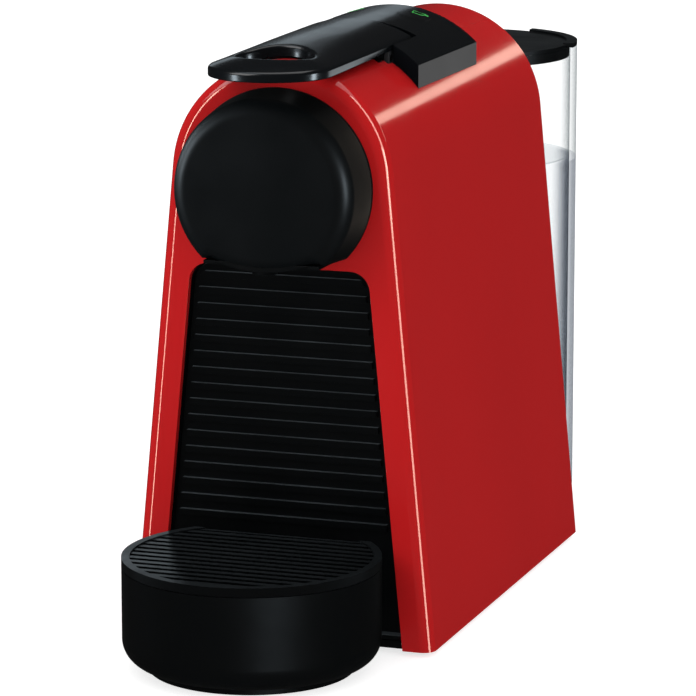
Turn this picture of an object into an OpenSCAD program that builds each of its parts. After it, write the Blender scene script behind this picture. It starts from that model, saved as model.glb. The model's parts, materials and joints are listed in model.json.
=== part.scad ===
// Compact capsule espresso machine with a lift-off water tank and a slide-out cup stand.
// Millimetres. X is across, -Y is the front, Z is up, and the origin is on the table
// under the middle of the machine.

/* [Body] */
// Width of the red casing at its foot
body_w = 110; // [108:0.5:114]
// Front face of the casing
body_front = -91.3; // [-92:0.1:-91]
// Rear face of the casing
body_rear = 87; // [86.5:0.1:87]
// Gap under the casing, filled by the rubber feet
body_foot = 1.75; // [1.5:0.05:2]
// Radius of the round top
arch_r = 39.5; // [39:0.1:40]
// Height of the centre of the round top
arch_z = 162; // [161:0.5:163]
// Wall of the casing
wall = 2.4; // [2:0.1:2.4]

/* [Brewing head] */
// Height of the head's axis
head_z = 159.6; // [159:0.1:160]
// Radius of the head where it meets the casing
head_r_back = 33.6; // [33:0.1:34]
// Radius of the head at its front edge
head_r_front = 31.2; // [30.8:0.1:32]
// How far the head stands out of the casing
head_len = 18.8; // [18:0.1:19.5]
// Height of the flat under the head
head_flat_z = 136.4; // [136:0.1:137]

/* [Front opening] */
// Height of the opening for the capsule container
opening_top = 132; // [131.5:0.1:132]
// Width of the red strip on each side of the opening
strip_w = 10.65; // [10.3:0.05:11]
// Radius of the opening's upper corners
opening_corner = 7; // [6:0.5:8]

/* [Cup stand] */
// Radius of the round cup stand
stand_r = 43.8; // [43:0.1:44]
// Height of the cup grid
stand_top = 38.7; // [38:0.1:40]
// Distance between the bars of the grid
grid_pitch = 4.9; // [4.5:0.1:5.5]

/* [Water tank] */
// Radius of the tank
tank_r = 42.3; // [42:0.1:42.5]
// Height of the lid's flange
tank_top = 184.2; // [180:0.1:186]
// Wall of the tank
tank_wall = 2.6; // [2.2:0.1:3]

/* [Control panel and lever] */
// Half of the panel's width
panel_half = 30.9; // [30.5:0.1:31.2]
// Radius of the panel's round top
panel_arch_r = 44.5; // [44:0.1:45]
// Crown of the panel
panel_crown = 207.2; // [207:0.1:207.4]
// Half of the lever's width, also the radius of its tip
lever_half = 21.2; // [21:0.1:21.3]
// Crown of the lever
lever_crown = 207.6; // [207.5:0.1:207.8]
// Radius of the finger hole
lever_hole_r = 13; // [11:0.5:14]
// Travel of a button
button_travel = 1.2; // [0.8:0.1:1.4]

/* [Hidden] */
$fn = 72;

// Casing: the sides touch the round top and spread towards the foot.
drop = arch_z - body_foot;
flare = acos(arch_r / norm([body_w / 2, drop])) - atan2(drop, body_w / 2);
body_inside = body_front + wall;
function body_half(z) = body_w / 2 - (z - body_foot) * tan(flare);
function opening_half(z, inset) = body_half(z) - (strip_w + inset) / cos(flare);

// Places along the machine.
stand_y = -162.5 + stand_r;
stand_back = -88.8;
stand_seam = stand_top - 3.2;
tank_y = 162.5 - tank_r;
tank_front = 88.3;
tank_floor = 9.6;
tank_rim = tank_top - 1.8;
neck_y = 112;
floor_top = body_foot + 3;
bay_back = -22;
liner_wall = 1.6;
container_back = -24.4;
container_front = -87;
slot_half = 15.6;
rod_room = 19.5;
slot_front = -76;
well_half = 22.3;
well_front = -34.3;
well_rear = 30;
head_hole_r = 24;
nozzle_y = -104.5;
bolster_y = -84.2;

// Lever mechanism: hinge, link pivots and the sliding cage.
hinge_y = -22.2;
hinge_z = 196.5;
hinge_pin_end = 25;
link_arm = 12;
link_len = 42;
carrier_z = 170;
link_tilt = asin((hinge_z - carrier_z) / link_len);
pivot_y = hinge_y - link_arm;
carrier_y = pivot_y - link_len * cos(link_tilt);
lever_back = -13.3;
lever_tip_y = -118.8;
lever_round_y = lever_tip_y + lever_half;
lever_arch_r = 45;
lever_skin = 2.2;
lever_lip_z = 198.2;
lever_lip_y = -95;
lever_hole_y = -93.5;
ear_in = 19.2;
ear_out = 20.9;
ear_room = 21.2;
notch_r = 14.55;
panel_front = -34.5;
panel_rear = 33;
panel_skin = 2;
button_x = 12.2;
button_y = 18.8;
button_half = 5.2;
button_long = 8.6;
board_z = 196;
switch_high = 2.2;
cage_r = 16.2;
cage_front = -81.6;
cage_back = -56;

// Inner works.
post_x = 37;
post_ys = [-15, 74];
shelf_z = 113;
block_half = 28;
block_len = 60;
block_z = 118;
block_top = 146;
pump_x = -22;
pump_z = 36;
pump_r = 11;
pump_outlet = -10;
pump_inlet = 65;
hose_gap = 0.4;
mount_ys = [-5, 46];
meter_x = 24;
meter_y = 60;
meter_r = 16;
hose_r = 2.6;
gland_x = 38;
gland_z = 16;

shell_red = [0.72, 0.08, 0.09];
black = [0.05, 0.055, 0.06];
dark = [0.12, 0.13, 0.14];
steel = [0.72, 0.73, 0.75];
clear = [0.85, 0.92, 0.95, 0.4];

// ---- helpers ----
module along_y(y0, y1) {
    translate([0, y1, 0])
        rotate([90, 0, 0])
            linear_extrude(height = y1 - y0)
                children();
}

module along_x(x0, x1) {
    translate([x0, 0, 0])
        rotate([90, 0, 90])
            linear_extrude(height = x1 - x0)
                children();
}

module along_z(z0, z1) {
    translate([0, 0, z0])
        linear_extrude(height = z1 - z0)
            children();
}

module rod_x(y, z, r, x0, x1) {
    translate([x0, y, z])
        rotate([0, 90, 0])
            cylinder(r = r, h = x1 - x0);
}

module rod_y(x, z, r, y0, y1) {
    translate([x, y1, z])
        rotate([90, 0, 0])
            cylinder(r = r, h = y1 - y0);
}

module rod_z(x, y, r, z0, z1) {
    translate([x, y, z0])
        cylinder(r = r, h = z1 - z0);
}

module block(x0, x1, y0, y1, z0, z1) {
    translate([x0, y0, z0])
        cube([x1 - x0, y1 - y0, z1 - z0]);
}

module both_sides() {
    children();
    mirror([1, 0, 0])
        children();
}

// A hose: a round tube along a smooth curve through a few points.
function unit(v) = v / norm(v);

function curve_point(p, i, t) =
    let (a = p[max(i - 1, 0)], b = p[i], c = p[i + 1], d = p[min(i + 2, len(p) - 1)])
    0.5 * (2 * b + (c - a) * t + (2 * a - 5 * b + 4 * c - d) * t * t
           + (3 * b - a - 3 * c + d) * t * t * t);

function curve(p, steps) = concat(
    [for (i = [0 : len(p) - 2], j = [0 : steps - 1]) curve_point(p, i, j / steps)],
    [p[len(p) - 1]]);

module hose(points, r, side) {
    sides = 12;
    line = curve(points, 5);
    last = len(line) - 1;
    rings = [for (i = [0 : last])
        let (t = unit(line[min(i + 1, last)] - line[max(i - 1, 0)]),
             u = unit(cross(t, side)),
             v = cross(t, u))
        for (k = [0 : sides - 1])
            line[i] + r * (cos(360 * k / sides) * u + sin(360 * k / sides) * v)];
    walls = [for (i = [0 : last - 1], k = [0 : sides - 1])
        let (a = i * sides + k, b = i * sides + (k + 1) % sides)
        for (f = [[a, b, b + sides], [a, b + sides, a + sides]]) f];
    ends = [[for (k = [sides - 1 : -1 : 0]) k],
            [for (k = [0 : sides - 1]) last * sides + k]];
    polyhedron(points = rings, faces = concat(walls, ends));
}

// ---- outlines ----
module body_section(inset, z0) {
    r = arch_r - inset;
    side = [r * cos(flare), arch_z + r * sin(flare)];
    foot = body_half(z0) - inset / cos(flare);
    translate([0, arch_z])
        circle(r = r, $fn = 144);
    polygon([[-foot, z0], [foot, z0], side, [-side[0], side[1]]]);
}

module opening_outline(inset, z0) {
    top = opening_top - inset;
    r = opening_corner - inset;
    z = top - r;
    x = opening_half(z, inset) - r / cos(flare);
    foot = opening_half(z0, inset);
    side = [x + r * cos(flare), z + r * sin(flare)];
    polygon([[-foot, z0], [foot, z0], side, [x, top], [-x, top], [-side[0], side[1]]]);
    for (s = [-1, 1])
        translate([s * x, z])
            circle(r = r);
}

module tank_outline(inset) {
    difference() {
        translate([0, tank_y])
            circle(r = tank_r - inset, $fn = 144);
        translate([-tank_r, tank_front + inset - 2 * tank_r])
            square(2 * tank_r);
    }
}

module lever_outline(inset) {
    r = lever_half - inset;
    translate([0, lever_round_y])
        circle(r = r, $fn = 96);
    translate([-r, lever_round_y])
        square([2 * r, lever_back - inset - lever_round_y]);
}

module button_outline(margin) {
    r = button_half + margin;
    reach = button_long - button_half;
    for (s = [-1, 1])
        translate([0, s * reach])
            circle(r = r);
    translate([-r, -reach])
        square([2 * r, 2 * reach]);
}

// ---- casing ----
module outer_shell() {
    color(shell_red)
        difference() {
            along_y(body_front, body_rear)
                body_section(0, body_foot);
            along_y(body_inside, body_rear + 1)
                body_section(wall, body_foot - 1);
            along_y(body_front - 1, body_inside + 1)
                opening_outline(0, body_foot - 1);
            rod_y(0, head_z, head_hole_r, body_front - 1, body_inside + 1);
            block(-slot_half, slot_half, slot_front, well_front + 1, 190, 203);
            block(-rod_room, rod_room, pivot_y - 9.4, well_front + 1, 190, 203);
            block(-ear_room, ear_room, pivot_y - 4.2, well_front + 1, 190, 203);
            block(-well_half, well_half, well_front, well_rear, 190, 203);
        }
}

module rear_cover() {
    color(black)
        difference() {
            along_y(body_rear - 2.2, body_rear)
                body_section(wall + 0.1, floor_top + 0.1);
            rod_y(gland_x, gland_z, 5.1, body_rear - 4, body_rear + 1);
            rod_y(0, 8.4, 3.4, body_rear - 4, body_rear + 1);
            for (i = [0 : 5])
                block(-12, 12, body_rear - 4, body_rear + 1, 60 + i * 6, 62.5 + i * 6);
        }
}

module base_plate() {
    half = body_half(floor_top) - wall - 0.2;
    lip = opening_half(floor_top, 0.3);
    color(black)
        difference() {
            union() {
                block(-half, half, body_inside + 0.1, body_rear, body_foot, floor_top);
                block(-lip, lip, stand_back + 0.3, body_inside + 1, body_foot, floor_top);
                along_z(body_foot, floor_top)
                    intersection() {
                        tank_outline(2);
                        translate([-50, body_rear])
                            square(100);
                    }
                block(-24, 24, body_rear - 1, tank_front + 4, body_foot, floor_top);
            }
            for (x = [-post_x, post_x], y = post_ys) {
                rod_z(x, y, 3.4, body_foot - 1, body_foot + 1.8);
                rod_z(x, y, 1.7, body_foot - 1, floor_top + 1);
            }
        }
}

module rubber_feet() {
    spots = [[-42, -74], [42, -74], [-42, 58], [42, 58], [0, 146]];
    color(dark)
        for (p = spots)
            rod_z(p[0], p[1], 7, 0, body_foot);
}

module base_screws() {
    color(steel)
        for (x = [-post_x, post_x], y = post_ys)
            difference() {
                union() {
                    rod_z(x, y, 3, body_foot + 0.2, body_foot + 1.8);
                    rod_z(x, y, 1.5, body_foot + 1, 11);
                }
                block(x - 2, x + 2, y - 0.4, y + 0.4, body_foot, body_foot + 0.9);
                block(x - 0.4, x + 0.4, y - 2, y + 2, body_foot, body_foot + 0.9);
            }
}

module bay_liner() {
    color(black)
        difference() {
            along_y(body_inside + 0.1, bay_back)
                opening_outline(-liner_wall, floor_top + 0.1);
            along_y(body_inside - 1, bay_back - liner_wall)
                opening_outline(0, floor_top + liner_wall);
            block(-24, 24, -84, bay_back - 4, 120, 140);
        }
}

module inner_frame() {
    color(dark) {
        difference() {
            block(-39.5, 39.5, -8, 80, shelf_z, shelf_z + 3);
            block(-20, 20, 8, 50, shelf_z - 1, shelf_z + 4);
        }
        for (x = [-post_x, post_x], y = post_ys)
            difference() {
                union() {
                    rod_z(x, y, 3, floor_top, shelf_z + 1);
                    block(x - 1.2, x + 1.2, min(y, -8), max(y, -6), shelf_z - 12, shelf_z + 3);
                }
                rod_z(x, y, 1.52, floor_top - 1, 12);
                block(x - 5, x + 5, -5, post_ys[1] - 3, shelf_z - 13, shelf_z - 0.001);
            }
        for (x = [-22, 22], y = [4, 56])
            rod_z(x, y, 3, shelf_z + 2.5, block_z);
    }
}

// ---- brewing head ----
module head_profile(inset) {
    corner = 4 - inset / 2;
    front = head_len - inset;
    r = head_r_front - inset;
    polygon([[0, 0], [head_r_back - inset, 0], [r, front - corner],
             [r - corner, front - corner], [r - corner, front], [0, front]]);
    translate([r - corner, front - corner])
        circle(r = corner, $fn = 48);
}

module head_collar() {
    color(dark)
        difference() {
            union() {
                rod_y(0, head_z, head_r_back, body_front - 1, body_front);
                rod_y(0, head_z, head_hole_r - 0.1, body_front - 1, body_inside);
            }
            rod_y(0, head_z, 22.5, body_front - 2, body_inside + 1);
            block(-40, 40, body_front - 3, body_front, 100, head_flat_z);
        }
}

module head_cover() {
    color(black)
        difference() {
            translate([0, body_front - 1, head_z])
                rotate([90, 0, 0])
                    difference() {
                        rotate_extrude($fn = 144)
                            head_profile(0);
                        translate([0, 0, -0.01])
                            rotate_extrude($fn = 144)
                                head_profile(2);
                    }
            block(-40, 40, body_front - 30, body_front, 100, head_flat_z);
        }
}

module spout_bridge() {
    bulge_r = 50;
    bridge_top = head_flat_z - 0.05;
    color(black)
        difference() {
            union() {
                block(-20.5, 20.5, body_front - head_len + 1.5, body_front - 1.1,
                      head_flat_z - 1.2, bridge_top);
                along_y(body_front - head_len + 1, body_front - 2)
                    intersection() {
                        translate([0, 133.4 + bulge_r])
                            circle(r = bulge_r, $fn = 144);
                        translate([-21, 133])
                            square([42, bridge_top - 133]);
                    }
            }
            rod_z(0, nozzle_y, 4.35, 130, 140);
        }
}

module spout_nozzle() {
    color(dark)
        difference() {
            rod_z(0, nozzle_y, 4.3, 132.1, 139.1);
            rod_z(0, nozzle_y, 2.8, 131, 137);
            rod_z(0, nozzle_y, 1.5, 136, 140);
        }
}

module brew_head_block() {
    color(dark)
        difference() {
            union() {
                rod_y(0, head_z, 20.5, nozzle_y - 2.8, bolster_y);
                rod_y(0, head_z, 25.4, body_inside + 0.1, bolster_y);
            }
            rod_z(0, nozzle_y, 1.5, 130, head_z);
            rod_y(0, head_z, 1.5, nozzle_y, bolster_y + 1);
        }
}

module extraction_plate() {
    color(steel)
        difference() {
            rod_y(0, head_z, 17, bolster_y, bolster_y + 1.9);
            for (a = [0 : 60 : 300])
                rod_y(8 * cos(a), head_z + 8 * sin(a), 0.9, bolster_y - 1, bolster_y + 3);
            rod_y(0, head_z, 0.9, bolster_y - 1, bolster_y + 3);
        }
}

module plate_seal() {
    color(dark)
        difference() {
            rod_y(0, head_z, 18.9, bolster_y, bolster_y + 2.2);
            rod_y(0, head_z, 17.05, bolster_y - 1, bolster_y + 3);
        }
}

module brew_frame() {
    frame_half = 23.3;
    color(dark)
        difference() {
            block(-frame_half, frame_half, bolster_y, -9, 138, 184);
            block(-20.8, 20.8, bolster_y + 2.3, -12, 130, 190);
            block(-22, 22, -68, -12, 142.5, 149.5);
            rod_y(0, head_z, 19, bolster_y - 1, bolster_y + 4);
            rod_y(0, head_z, 4, -13, -8);
        }
}

module capsule_guide() {
    color(dark)
        difference() {
            block(-16.4, 16.4, -81.8, -77.5, 179, 194);
            rod_y(0, head_z + 3, 20, -83, -70);
            block(-15, 15, -80.3, -77, 178, 195);
        }
}

module water_fitting() {
    color(steel)
        difference() {
            union() {
                rod_y(0, head_z, 3.95, -18, -6);
                rod_y(0, head_z, 6, -9, -7);
            }
            rod_y(0, head_z, 1.5, -19, -5);
        }
}

// ---- water circuit ----
module thermoblock() {
    color(steel)
        union() {
            block(-block_half, block_half, 0, block_len, block_z, block_top);
            for (y = [10 : 10 : 50])
                block(-block_half - 2, block_half + 2, y - 1, y + 1, block_z + 6, block_top - 6);
        }
}

module heater_element() {
    lift = block_top + 4.1;
    color(steel) {
        for (s = [-1, 1]) {
            rod_y(s * 14, lift, 4, 22, 46);
            rod_y(s * 14, lift, 1.2, 46, 54);
        }
        translate([0, 22, lift])
            mirror([0, 1, 0])
                rotate_extrude(angle = 180, $fn = 72)
                    translate([14, 0])
                        circle(r = 4, $fn = 36);
    }
}

module thermostat() {
    color(steel) {
        rod_y(12, 132, 8, block_len, block_len + 5);
        rod_y(12, 132, 5, block_len + 4, block_len + 8);
    }
}

module thermal_fuse() {
    color(steel)
        rod_y(0, block_top + 2.1, 2, 32, 50);
}

module temperature_sensor() {
    color(steel) {
        rod_z(22, 54, 2.5, block_top, block_top + 8);
        rod_z(22, 54, 3.5, block_top + 1, block_top + 3);
    }
}

module pump_body() {
    color(black)
        difference() {
            union() {
                rod_y(pump_x, pump_z, pump_r, -6, 62);
                rod_y(pump_x, pump_z, 4, pump_outlet, -5);
                rod_y(pump_x, pump_z, 4, 61, pump_inlet);
            }
            rod_y(pump_x, pump_z, 5, 0, 50);
        }
}

module pump_coil() {
    color(dark)
        difference() {
            block(pump_x - 17, pump_x + 17, 0, 36, pump_z - 17, pump_z + 17);
            rod_y(pump_x, pump_z, pump_r + 0.05, -1, 37);
        }
}

module pump_mounts() {
    color(dark)
        for (y = mount_ys)
            difference() {
                rod_y(pump_x, pump_z, 15, y, y + 5);
                rod_y(pump_x, pump_z, pump_r + 0.05, y - 1, y + 6);
            }
}

module pump_bracket() {
    color(steel)
        for (y = mount_ys)
            difference() {
                block(pump_x - 16, pump_x + 16, y + 1, y + 4, floor_top, pump_z + 6);
                rod_y(pump_x, pump_z, 15.05, y - 1, y + 6);
            }
}

module pump_piston() {
    color(steel)
        rod_y(pump_x, pump_z, 4.93, 4, 34);
}

module flow_meter_body() {
    color(black) {
        difference() {
            rod_z(meter_x, meter_y, meter_r, 18, 32);
            rod_z(meter_x, meter_y, 13.6, 20, 33);
        }
        rod_z(meter_x, meter_y, 1, 19, 31);
        rod_z(meter_x, meter_y, 7, floor_top, 18.5);
    }
}

module flow_meter_cap() {
    color(dark)
        rod_z(meter_x, meter_y, meter_r, 32, 34.5);
}

module flow_meter_rotor() {
    color(clear)
        translate([meter_x, meter_y, 21])
            difference() {
                union() {
                    cylinder(r = 3, h = 8);
                    for (a = [0 : 60 : 300])
                        rotate([0, 0, a])
                            translate([0, -0.8, 1])
                                cube([12.4, 1.6, 6]);
                }
                translate([0, 0, -1])
                    cylinder(r = 1.05, h = 10);
            }
}

module inlet_hose() {
    color(clear)
        hose([[0, tank_front - 0.6, 8.4], [0, 84, 8.4], [4, 80.6, 10.5], [15, 80, 19],
              [22, 80.5, 25], [meter_x, 79.4, 26], [meter_x, meter_y + meter_r + hose_gap, 26]],
             hose_r, [0, 0, 1]);
}

module suction_hose() {
    color(clear)
        hose([[meter_x - meter_r - hose_gap, meter_y, 26], [2, 61.5, 27], [-7, 71, 31],
              [-15, 78.5, 35], [pump_x, 76, pump_z], [pump_x, pump_inlet + hose_gap, pump_z]],
             hose_r, [0, 0, 1]);
}

module pressure_hose() {
    color(clear)
        hose([[pump_x, pump_outlet - hose_gap, pump_z], [pump_x, -14.5, 38], [-21.5, -17, 44],
              [-20, -17, 60], [-20, -16, 112], [-20, -11, 127], [-20, -6, 131.5],
              [-20, -hose_gap, 132]], 2, [1, 0, 0]);
}

module brew_hose() {
    color(clear)
        hose([[10, -hose_gap, 132], [10, -4, 134], [10, -4.6, 142], [8, 0, 152], [3, 3, 158.5],
              [0, 0, head_z], [0, -6 + hose_gap, head_z]], 1.9, [1, 0, 0]);
}

module main_board() {
    color([0.1, 0.35, 0.18])
        difference() {
            block(36, 37.6, 0, 64, 52, 106);
            for (y = [5, 59], z = [57, 101])
                rod_x(y, z, 1.6, 35, 39);
        }
}

module board_relay() {
    color(black)
        block(28, 36, 8, 26, 76, 92);
}

module board_capacitor() {
    color(dark)
        rod_x(44, 84, 6, 24, 36);
}

module cord_gland() {
    color(black)
        difference() {
            union() {
                rod_y(gland_x, gland_z, 5, body_rear - 8, body_rear + 1);
                rod_y(gland_x, gland_z, 7.6, body_rear, body_rear + 2.6);
            }
            rod_y(gland_x, gland_z, 3.2, body_rear - 9, body_rear + 4);
        }
}

// ---- tank and dock ----
module tank_dock() {
    color(black)
        difference() {
            union() {
                along_z(floor_top, tank_floor - 0.4)
                    tank_outline(2.2);
                rod_z(0, neck_y, 13, floor_top, tank_floor - 0.4);
            }
            rod_z(0, neck_y, 9.8, floor_top + 0.6, tank_floor + 1);
            rod_y(0, 8.4, 3, tank_front - 1, neck_y);
        }
}

module dock_seal() {
    color(dark)
        difference() {
            rod_z(0, neck_y, 9.7, floor_top + 0.6, floor_top + 3);
            rod_z(0, neck_y, 8.3, floor_top, floor_top + 4);
        }
}

module water_tank() {
    color(clear)
        difference() {
            union() {
                along_z(tank_floor, tank_rim)
                    tank_outline(0);
                rod_z(0, neck_y, 8, floor_top + 1.2, tank_floor + 1);
            }
            along_z(tank_floor + tank_wall, tank_rim + 1)
                tank_outline(tank_wall);
            rod_z(0, neck_y, 4, floor_top, tank_floor + 4);
        }
}

module valve_guide() {
    top = tank_floor + tank_wall;
    color(dark)
        difference() {
            rod_z(0, neck_y, 9, top, top + 14);
            rod_z(0, neck_y, 7.6, top - 1, top + 12.6);
            for (a = [0 : 60 : 120])
                translate([0, neck_y, top + 2])
                    rotate([0, 0, a])
                        translate([-10, -2.5, 0])
                            cube([20, 5, 8]);
        }
}

module tank_valve() {
    top = tank_floor + tank_wall;
    color(dark) {
        rod_z(0, neck_y, 6, top, top + 2);
        rod_z(0, neck_y, 2.4, floor_top + 2, top + 9.5);
    }
}

module tank_lid() {
    skirt = tank_wall + 0.4;
    color(black) {
        difference() {
            along_z(tank_rim - 4.2, tank_top - 0.8)
                tank_outline(skirt);
            along_z(tank_rim - 5, tank_top - 3)
                tank_outline(skirt + 1.8);
        }
        difference() {
            along_z(tank_rim + 0.1, tank_top)
                tank_outline(0);
            along_z(tank_rim - 1, tank_top + 1)
                tank_outline(skirt + 1);
            block(-14.5, 14.5, tank_y, tank_y + 60, tank_rim - 1, tank_top + 1);
            block(-60, 60, tank_front - 1, tank_y, tank_rim - 1, tank_top + 1);
        }
    }
}

// ---- capsule container and cup stand ----
module capsule_container() {
    rib_pitch = 5.6;
    color(black) {
        difference() {
            along_y(container_front, container_back)
                opening_outline(0.7, floor_top + 2.2);
            along_y(container_front + 2, container_back - 1.8)
                opening_outline(2.5, floor_top + 4.2);
            block(-50, 50, container_front + 2, container_back + 1, 118, 140);
        }
        for (i = [0 : 15])
            along_y(container_front - 1.4, container_front + 0.5)
                intersection() {
                    opening_outline(2.6, 20);
                    translate([-50, 42.5 + i * rib_pitch])
                        square([100, 2.2]);
                }
    }
}

module drip_base() {
    corner = 8.5;
    inner = stand_r - 2.4;
    foot_r = 34.9;
    lift = 2.2;
    color(black)
        difference() {
            translate([0, stand_y, 0])
                rotate_extrude($fn = 144) {
                    square([foot_r, lift + 1]);
                    translate([stand_r - corner, lift + corner])
                        circle(r = corner, $fn = 48);
                    translate([0, lift])
                        square([stand_r - corner, 2 * corner]);
                    translate([0, lift + corner])
                        square([stand_r, stand_seam - lift - corner - 0.1]);
                }
            difference() {
                union() {
                    rod_z(0, stand_y, inner, lift + corner, stand_top);
                    rod_z(0, stand_y, stand_r - corner, lift + 2.4, stand_top);
                }
                block(-60, 60, stand_back - 2.2, stand_back + 1, 0, stand_top);
            }
            block(-60, 60, stand_back, 0, -1, stand_top + 1);
        }
}

module drip_grid() {
    rim = 2.8;
    sole = stand_seam + 0.1;
    reach = stand_r - rim + 0.4;
    color(black) {
        intersection() {
            block(-60, 60, -170, stand_back, sole, stand_top);
            union() {
                difference() {
                    rod_z(0, stand_y, stand_r, sole, stand_top);
                    rod_z(0, stand_y, stand_r - rim, sole - 1, stand_top + 1);
                }
                intersection() {
                    rod_z(0, stand_y, reach, sole - 1, stand_top);
                    union() {
                        for (i = [0 : 14])
                            translate([-50, stand_y - stand_r + 4.4 + i * grid_pitch, sole])
                                cube([100, 2.5, 2.6]);
                        block(-60, 60, stand_back - 1.6, stand_back, sole, sole + 2.6);
                    }
                }
            }
        }
        intersection() {
            block(-60, 60, -170, stand_back - 2.6, 30, stand_top);
            union() {
                difference() {
                    rod_z(0, stand_y, stand_r - 2.7, sole - 2.4, sole + 1);
                    rod_z(0, stand_y, stand_r - 4.1, sole - 3, sole + 2);
                }
                intersection() {
                    rod_z(0, stand_y, stand_r - 3, sole - 1, stand_top);
                    for (x = [-24, 0, 24])
                        block(x - 1, x + 1, -170, stand_back, sole - 0.8, sole + 0.6);
                }
            }
        }
    }
}

// ---- control panel ----
module panel_section(inset) {
    r = panel_arch_r - inset;
    half = panel_half - inset;
    intersection() {
        translate([0, panel_crown - panel_arch_r])
            circle(r = r, $fn = 144);
        translate([-half, 180])
            square([2 * half, 40]);
    }
}

module lever_notch(grow) {
    half = lever_half + 0.5 + grow;
    block(-half, half, panel_front - 2, hinge_y, 186, 215);
    rod_x(hinge_y, hinge_z, notch_r + grow, -half, half);
}

module control_panel() {
    color(black)
        difference() {
            union() {
                difference() {
                    along_y(panel_front, panel_rear)
                        panel_section(0);
                    along_y(panel_front + panel_skin, panel_rear - panel_skin)
                        panel_section(panel_skin);
                }
                intersection() {
                    along_y(panel_front, panel_rear)
                        panel_section(0);
                    union() {
                        lever_notch(1.6);
                        both_sides()
                            rod_x(hinge_y, hinge_z, 4.5, 22, panel_half - 2);
                    }
                }
            }
            lever_notch(0);
            along_y(panel_front - 1, panel_rear + 1)
                translate([0, arch_z])
                    circle(r = arch_r + 0.02, $fn = 144);
            block(-well_half - 0.2, well_half + 0.2, -8, well_rear, 180, 196.4);
            both_sides() {
                rod_x(hinge_y, hinge_z, 2.02, 18, hinge_pin_end + 0.2);
                translate([button_x, button_y, 190])
                    linear_extrude(height = 30)
                        button_outline(0.3);
            }
        }
}

module panel_chassis() {
    color(dark)
        difference() {
            union() {
                block(-22, 22, -3, 29, board_z - 2.4, board_z);
                block(-25.8, 25.8, -3, 29, board_z - 1, board_z);
            }
            block(-14, 14, 3, 23, board_z - 3, board_z + 1);
        }
}

module switch_board() {
    color([0.1, 0.35, 0.18])
        block(-18.5, 18.5, 2, 28, board_z, board_z + 1.4);
    color(dark)
        both_sides()
            rod_z(button_x, button_y, 2.2, board_z + 1.2, board_z + switch_high);
}

module button_cap() {
    color(black)
        intersection() {
            translate([button_x, button_y, board_z + switch_high + button_travel + 0.2])
                linear_extrude(height = 15)
                    button_outline(0);
            along_y(0, 40)
                translate([0, panel_crown - panel_arch_r])
                    circle(r = panel_arch_r + 0.1, $fn = 144);
        }
}

module espresso_button() {
    mirror([1, 0, 0])
        button_cap();
}

module lungo_button() {
    button_cap();
}

// ---- lever ----
module lever_side() {
    polygon([[0, 150], [0, lever_crown + 1], [-40, lever_crown + 1], [-84, 206.6],
             [-100, 204.8], [-112, 203], [lever_tip_y - 1, 201.6], [lever_tip_y - 1, 150]]);
}

module lever_arch(inset) {
    translate([0, lever_crown - lever_arch_r])
        circle(r = lever_arch_r - inset, $fn = 144);
}

module lever_cover() {
    color(black)
        difference() {
            intersection() {
                along_z(lever_lip_z, lever_crown + 2)
                    lever_outline(0);
                along_y(lever_tip_y - 1, 0)
                    lever_arch(0);
                along_x(-30, 30)
                    lever_side();
            }
            along_y(lever_lip_y, 1)
                lever_arch(lever_skin);
            intersection() {
                along_z(lever_lip_z - 1, 220)
                    lever_outline(2.6);
                along_y(lever_tip_y - 1, lever_lip_y + 1)
                    lever_arch(lever_skin);
                translate([0, 0, -2.4])
                    along_x(-30, 30)
                        lever_side();
            }
            rod_z(0, lever_hole_y, lever_hole_r, 190, 220);
        }
}

module lever_frame() {
    under_r = 66;
    color(dark)
        difference() {
            union() {
                difference() {
                    intersection() {
                        along_z(199, 208)
                            lever_outline(2.7);
                        along_y(lever_lip_y + 0.1, lever_back - 1)
                            lever_arch(lever_skin + 0.1);
                    }
                    along_y(lever_tip_y, 0)
                        translate([0, 203.2 - under_r])
                            circle(r = under_r, $fn = 144);
                }
                intersection() {
                    along_y(pivot_y - 3.2, lever_back - 1)
                        lever_arch(lever_skin + 0.1);
                    both_sides() {
                        block(ear_in, ear_out, pivot_y - 3.2, lever_back - 1, hinge_z, 204);
                        block(16.5, ear_out, pivot_y - 3.2, lever_back - 1, hinge_z + 3.8, 204);
                        rod_x(hinge_y, hinge_z, 3.7, ear_in, ear_out);
                        rod_x(pivot_y, hinge_z, 3.2, ear_in, ear_out);
                        block(ear_in, ear_out, pivot_y, hinge_y, hinge_z - 3, hinge_z + 1);
                    }
                }
            }
            rod_z(0, lever_hole_y, lever_hole_r + 1, 190, 220);
            both_sides() {
                rod_x(hinge_y, hinge_z, 2.05, 15, 25);
                rod_x(pivot_y, hinge_z, 1.5, 15, 25);
            }
        }
}

module lever_hinge_pins() {
    color(steel)
        both_sides()
            rod_x(hinge_y, hinge_z, 2, 19, hinge_pin_end);
}

module link_pins() {
    color(steel)
        both_sides()
            rod_x(pivot_y, hinge_z, 1.48, 16.7, 20.7);
}

module link_rods() {
    link_in = 16.9;
    link_thick = 2;
    color(steel)
        both_sides()
            difference() {
                translate([link_in, pivot_y, hinge_z])
                    rotate([link_tilt, 0, 0])
                        union() {
                            block(0, link_thick, -link_len, 0, -2.2, 2.2);
                            rod_x(0, 0, 3, 0, link_thick);
                            rod_x(-link_len, 0, 3.6, 0, link_thick);
                        }
                rod_x(pivot_y, hinge_z, 1.53, 15, 20);
                rod_x(carrier_y, carrier_z, 2.1, 15, 20);
            }
}

// ---- sliding capsule cage ----
module capsule_cage() {
    color(steel)
        difference() {
            rod_y(0, head_z, cage_r, cage_front, cage_back);
            rod_y(0, head_z, cage_r - 1.6, cage_front - 1, cage_back - 2.4);
            rod_y(0, head_z, 2, cage_back - 4, cage_back + 1);
        }
}

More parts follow.
